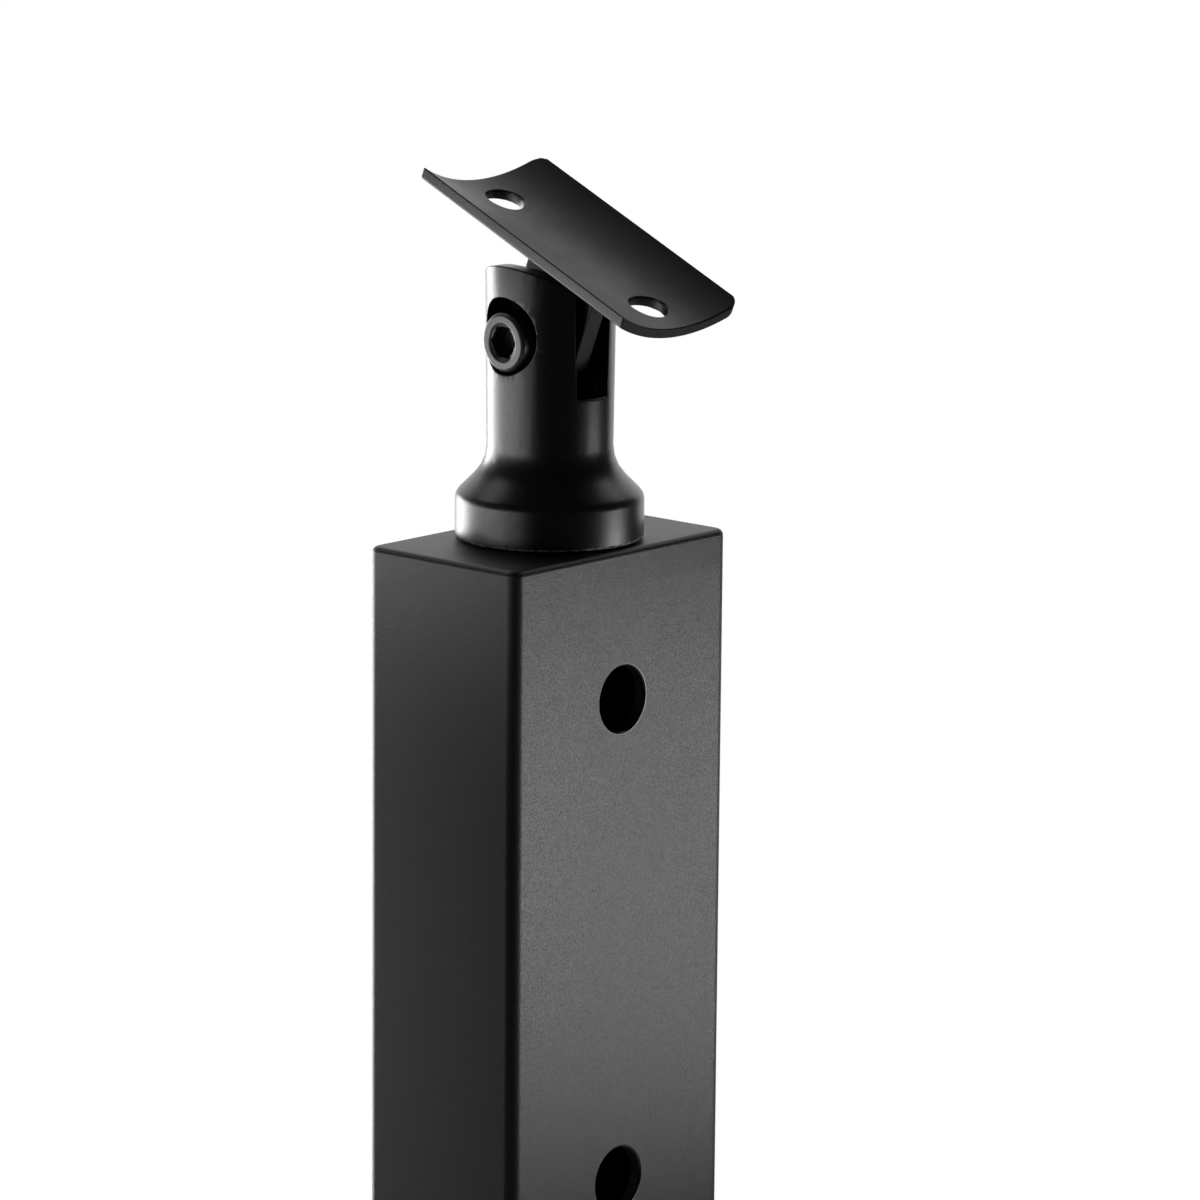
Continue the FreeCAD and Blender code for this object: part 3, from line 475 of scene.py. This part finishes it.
class POST_OT_screws(bpy.types.Operator):
    """Dress the pivot screw and the screw inside the neck"""
    bl_idname = "post.screws"
    bl_label = "Screws"

    def execute(self, context):
        sizes = context.scene.post_sizes
        plating = screw_black()
        for node, body in (("pivot_screw", "neck"), ("neck_screw", "post")):
            piece = refined_copy(node, node + "_plated", sizes.screw_edge)
            finish_mesh(piece, plating, body, node)
        return {"FINISHED"}


class POST_OT_saddle(bpy.types.Operator):
    """Dress the saddle plate and its tongue in matt coat"""
    bl_idname = "post.saddle"
    bl_label = "Saddle"

    def execute(self, context):
        sizes = context.scene.post_sizes
        coat = saddle_coat()
        for node in ("saddle_plate", "saddle_tongue"):
            piece = refined_copy(node, node + "_coated", sizes.saddle_edge)
            finish_mesh(piece, coat, "saddle", node)
        return {"FINISHED"}


class POST_OT_weld(bpy.types.Operator):
    """Lay the rippled weld beads between the tongue and the saddle"""
    bl_idname = "post.weld"
    bl_label = "Weld beads"

    def execute(self, context):
        sizes, studio = context.scene.post_sizes, context.scene.studio_sizes
        joint = next(j for j in frame["joints"] if j["name"] == "saddle_tilt")
        across = Vector(joint["axis"]).normalized()
        along = Matrix.Rotation(studio.saddle_lean, 3, across) @ across.cross(Vector((0.0, 0.0, 1.0)))
        up = along.cross(across)
        bm = bmesh.new()
        for side in (-1.0, 1.0):
            start = Vector(joint["pos_m"]) + across * side * sizes.weld_off + up * sizes.weld_rise
            self.bead(bm, sizes, start, along, (across * side, up))
        bmesh.ops.recalc_face_normals(bm, faces=bm.faces)
        mesh = bpy.data.meshes.new("weld_beads")
        bm.to_mesh(mesh)
        bm.free()
        for face in mesh.polygons:
            face.use_smooth = True
        piece = bpy.data.objects.new("weld_beads", mesh)
        context.scene.collection.objects.link(piece)
        finish_mesh(piece, bpy.data.materials["baked_lacquer_satin_black"], "saddle")
        return {"FINISHED"}

    def bead(self, bm, sizes, start, along, sides):
        """Runs one closed bead along the tongue, swollen at each ripple and thin at its ends."""
        last = []
        for i in range(BEAD_RINGS + 1):
            t = i / BEAD_RINGS * 2 - 1
            ripple = math.cos(math.tau * t * sizes.weld_long / 2 / sizes.weld_ripple)
            thick = sizes.weld_bead * (1 + 0.11 * ripple) * max(1 - t ** 8, 0.02) ** 0.5
            middle = start + along * t * sizes.weld_long / 2
            ring = []
            for k in range(BEAD_POINTS):
                turn = math.tau * k / BEAD_POINTS
                out = sides[0] * math.cos(turn) + sides[1] * math.sin(turn)
                ring.append(bm.verts.new(middle + out * thick))
            for k in range(BEAD_POINTS if last else 0):
                bm.faces.new((last[k], last[k - 1], ring[k - 1], ring[k]))
            if not last:
                bm.faces.new(ring)
            last = ring
        bm.faces.new(last)


def soft_box(name, azimuth, rise, distance, size, glow, aim=None, spread=180.0):
    """Stands a soft box that faces the post's axis.

    The azimuth is the camera's kind of angle, the rise is the height of its middle over the
    cap's top in metres, and the glow is how bright its front is, with 1 for white. It faces
    the axis at its own height or at the height of its aim, and a spread in degrees is a
    honeycomb grid in front of it, which leaves the glow straight ahead as it is.
    """
    a = math.radians(azimuth)
    stand = Vector((math.sin(a) * distance, -math.cos(a) * distance, CAP_TOP + rise))
    target = Vector((0.0, 0.0, CAP_TOP + (rise if aim is None else aim)))
    towards = stand - target
    lamp = bpy.data.lights.new(name, "AREA")
    lamp.spread = math.radians(spread)
    lamp.shape = "RECTANGLE"
    lamp.size, lamp.size_y = size
    half = math.radians(spread) / 2
    gain = math.tan(half) / (math.tan(half) - half) if spread < 180.0 else 1.0
    lamp.energy = glow * math.pi * size[0] * size[1] / gain
    made = bpy.data.objects.new(name, lamp)
    made.matrix_world = Matrix.Translation(stand) @ towards.to_track_quat("Z", "Y").to_matrix().to_4x4()
    made.visible_camera = False
    bpy.context.scene.collection.objects.link(made)
    return made


class POST_OT_stage(bpy.types.Operator):
    """Set the floor, the soft light and the camera of the photograph"""
    bl_idname = "post.stage"
    bl_label = "Studio"

    def execute(self, context):
        scene = context.scene
        self.floor(scene)
        self.light(scene)
        self.camera(scene)
        scene.view_settings.view_transform = "Standard"
        return {"FINISHED"}

    def floor(self, scene):
        """Lays a wide round floor at the foot plate's underside."""
        bm = bmesh.new()
        bmesh.ops.create_circle(bm, cap_ends=True, segments=64, radius=FLOOR_RADIUS)
        mesh = bpy.data.meshes.new("floor")
        bm.to_mesh(mesh)
        bm.free()
        floor = bpy.data.objects.new("floor", mesh)
        scene.collection.objects.link(floor)
        mesh.materials.append(pale_floor())

    def light(self, scene):
        """Hangs a world that is white for the camera and nearly black for the object, and soft boxes."""
        world = bpy.data.worlds.new("studio")
        scene.world = world
        world.use_nodes = True
        tree = world.node_tree
        tree.nodes.clear()
        seen = add_node(tree, "ShaderNodeLightPath")
        paper = (1.0, 1.0, 1.0, 1.0)
        white = add_node(tree, "ShaderNodeBackground", {"Color": paper, "Strength": 1.0})
        dark = add_node(tree, "ShaderNodeBackground", {"Color": paper, "Strength": WORLD_GLOW})
        both = add_node(tree, "ShaderNodeMixShader", links={
            0: seen.outputs["Is Camera Ray"], 1: dark.outputs[0], 2: white.outputs[0]})
        add_node(tree, "ShaderNodeOutputWorld", links={"Surface": both.outputs[0]})
        view = math.degrees(scene.studio_sizes.azimuth)
        for name, turn, *rest in LAMPS:
            soft_box(name, view + turn, *rest)

    def camera(self, scene):
        """Stands the camera where the photograph's was."""
        studio = scene.studio_sizes
        a, e = studio.azimuth, studio.elevation
        back = Vector((math.sin(a) * math.cos(e), -math.cos(a) * math.cos(e), math.sin(e)))
        right = Vector((math.cos(a), math.sin(a), 0.0))
        up = back.cross(right)
        c, s = math.cos(studio.roll), math.sin(studio.roll)
        right, up = right * c + up * s, up * c - right * s
        per_px = studio.distance / studio.focal_px
        middle = PICTURE / 2
        aim = Vector((0.0, 0.0, CAP_TOP))
        stand = aim + back * studio.distance
        stand -= right * (studio.cap_x_px - middle) * per_px
        stand += up * (studio.cap_y_px - middle) * per_px
        lens = bpy.data.cameras.new("picture_camera")
        lens.sensor_width = 36.0
        lens.lens = studio.focal_px / PICTURE * lens.sensor_width
        lens.clip_start = 0.01
        made = bpy.data.objects.new("picture_camera", lens)
        turn = Matrix((right, up, back)).transposed().to_4x4()
        made.matrix_world = Matrix.Translation(stand) @ turn
        scene.collection.objects.link(made)
        scene.camera = made


class POST_PT_panel(bpy.types.Panel):
    """Lists the steps that dress the post"""
    bl_idname = "POST_PT_panel"
    bl_label = "Cable railing post"
    bl_space_type = "VIEW_3D"
    bl_region_type = "UI"
    bl_category = "Post"

    def draw(self, context):
        for step in STEPS:
            self.layout.operator(step.bl_idname)
        for group in ("post_sizes", "post_colours", "studio_sizes"):
            values = getattr(context.scene, group)
            for key in values.__annotations__:
                self.layout.prop(values, key)


GROUPS = (("post_sizes", PostSizes), ("post_colours", PostColours), ("studio_sizes", StudioSizes))
STEPS = (POST_OT_tube, POST_OT_neck, POST_OT_screws, POST_OT_saddle, POST_OT_weld, POST_OT_stage)


def register():
    for name, group in GROUPS:
        bpy.utils.register_class(group)
        setattr(bpy.types.Scene, name, bpy.props.PointerProperty(type=group))
    for step in STEPS:
        bpy.utils.register_class(step)
    bpy.utils.register_class(POST_PT_panel)


def unregister():
    bpy.utils.unregister_class(POST_PT_panel)
    for step in reversed(STEPS):
        bpy.utils.unregister_class(step)
    for name, group in reversed(GROUPS):
        delattr(bpy.types.Scene, name)
        bpy.utils.unregister_class(group)


def main():
    """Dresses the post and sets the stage."""
    register()
    bpy.ops.post.tube()
    bpy.ops.post.neck()
    bpy.ops.post.screws()
    bpy.ops.post.saddle()
    bpy.ops.post.weld()
    bpy.ops.post.stage()


if __name__ == "__main__":
    main()
